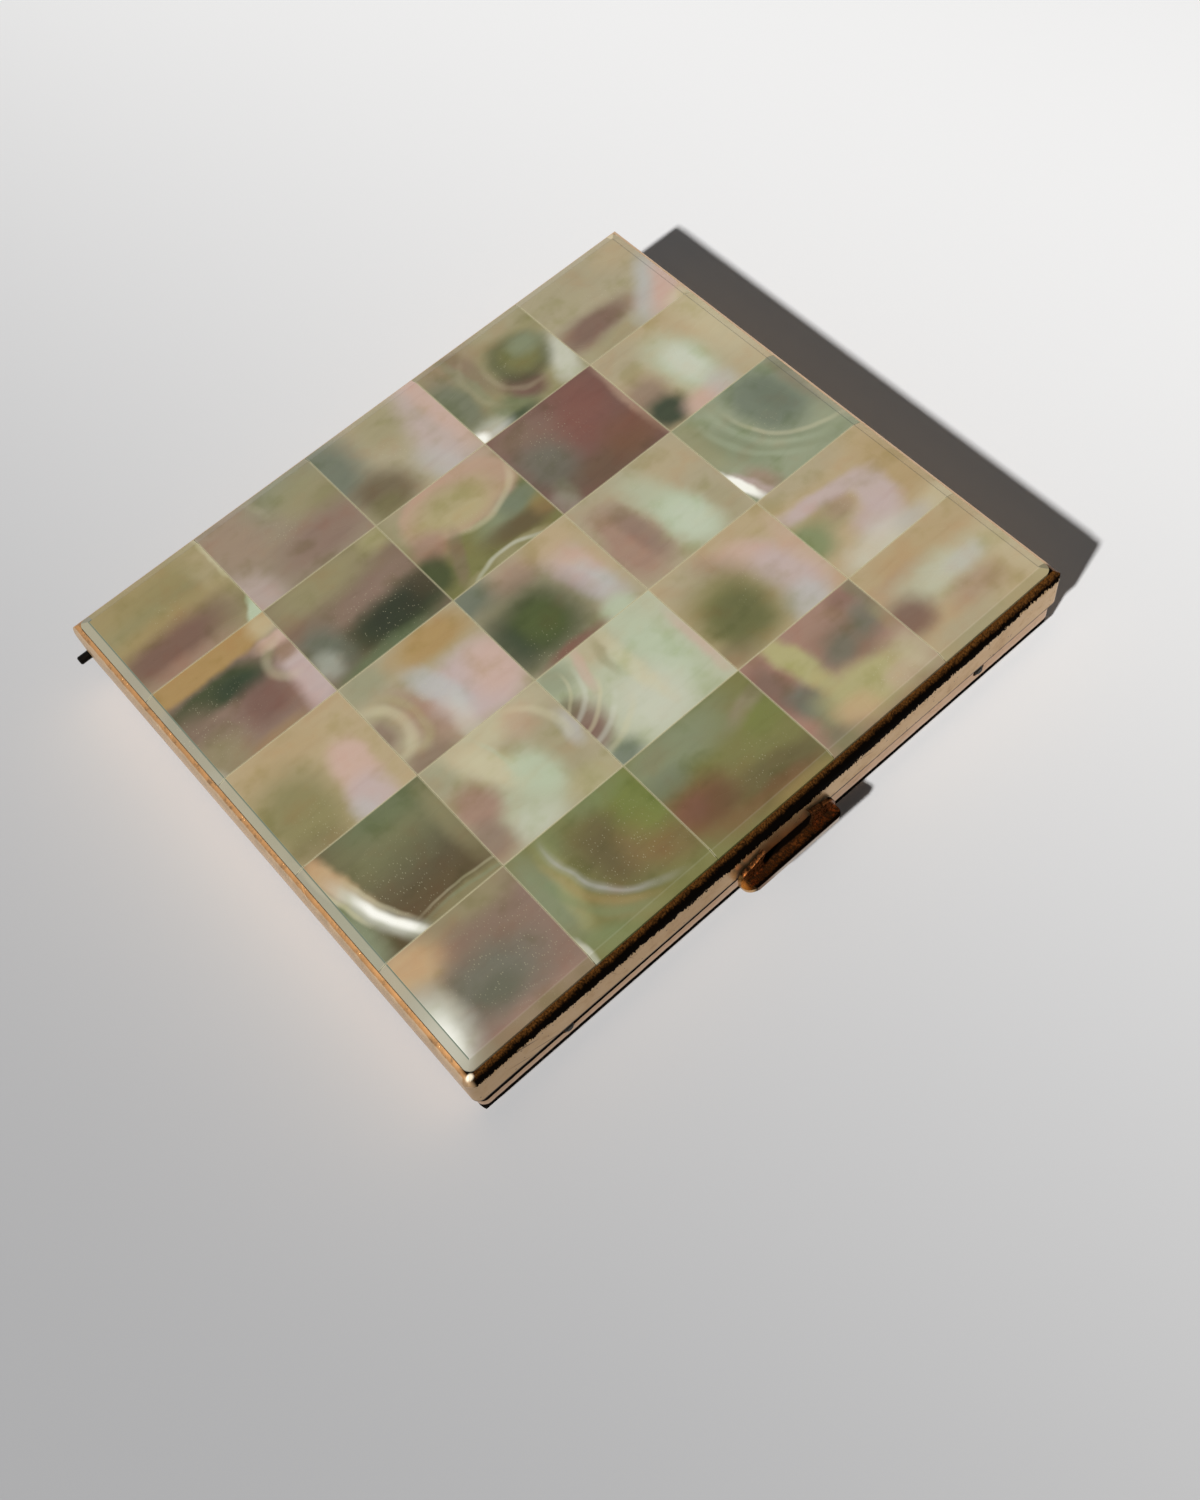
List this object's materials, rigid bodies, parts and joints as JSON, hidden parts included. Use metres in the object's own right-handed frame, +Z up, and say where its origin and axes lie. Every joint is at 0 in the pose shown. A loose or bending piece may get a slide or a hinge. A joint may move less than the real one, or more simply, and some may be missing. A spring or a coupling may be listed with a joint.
{
  "type": "cigarette case",
  "caption": "Flat pocket case with a mother-of-pearl tiled lid, gilt metal shells, a back hinge, a sprung thumb catch and a wire bail inside.",
  "frame": {"origin": "middle of the flat underside that the case rests on", "axes": "+Z up, +X along the hinge to the right as seen from the catch, +Y from the catch to the hinge"},
  "size_m": [0.0875, 0.0789, 0.013],
  "materials": {
    "pearl": "polished mother-of-pearl",
    "gilt_shell": "satin gilt, worn to a gold and dark shoulder",
    "gilt_liner": "bright gilt",
    "plain_brass": "plain, soldered",
    "catch_gilt": "polished red gilt",
    "bail_wire": "polished wire",
    "spring_steel": "blued spring steel",
    "pin_steel": "dark drawn wire"
  },
  "bodies": {
    "tray": {"tray_shell": "gilt_shell", "tray_liner": "gilt_liner", "tray_hinge_leaf": "plain_brass", "hinge_pin": "pin_steel", "bail_eyelet_left": "plain_brass", "bail_eyelet_right": "plain_brass"},
    "lid": {"lid_frame": "gilt_shell", "tile_backing": "plain_brass", "lid_liner": "gilt_liner", "lid_hinge_leaf": "plain_brass", "tile_r1_c1": "pearl", "tile_r1_c2": "pearl", "tile_r1_c3": "pearl", "tile_r1_c4": "pearl", "tile_r1_c5": "pearl", "tile_r2_c1": "pearl", "tile_r2_c2": "pearl", "tile_r2_c3": "pearl", "tile_r2_c4": "pearl", "tile_r2_c5": "pearl", "tile_r3_c1": "pearl", "tile_r3_c2": "pearl", "tile_r3_c3": "pearl", "tile_r3_c4": "pearl", "tile_r3_c5": "pearl", "tile_r4_c1": "pearl", "tile_r4_c2": "pearl", "tile_r4_c3": "pearl", "tile_r4_c4": "pearl", "tile_r4_c5": "pearl", "tile_r5_c1": "pearl", "tile_r5_c2": "pearl", "tile_r5_c3": "pearl", "tile_r5_c4": "pearl", "tile_r5_c5": "pearl"},
    "catch": {"thumb_catch": "catch_gilt", "catch_spring": "spring_steel", "catch_rivets": "plain_brass"},
    "bail": {"cigarette_bail": "bail_wire"}
  },
  "joints": [
    {"name": "lid_hinge", "type": "hinge", "parent": "tray", "child": "lid", "pos_m": [0, 0.0374, 0.0064], "axis": [-1, 0, 0], "range_deg": [0, 110]},
    {"name": "catch_rock", "type": "hinge", "parent": "tray", "child": "catch", "pos_m": [0, -0.0365, 0.005], "axis": [1, 0, 0], "range_deg": [0, 7], "stiffness_Nm_per_rad": 0.16},
    {"name": "bail_lift", "type": "hinge", "parent": "tray", "child": "bail", "pos_m": [0, 0.02, 0.0055], "axis": [-1, 0, 0], "range_deg": [0, 38.5]}
  ],
  "couplings": [
    {"joint": "bail_lift", "follows": "lid_hinge", "ratio": 0.35}
  ]
}
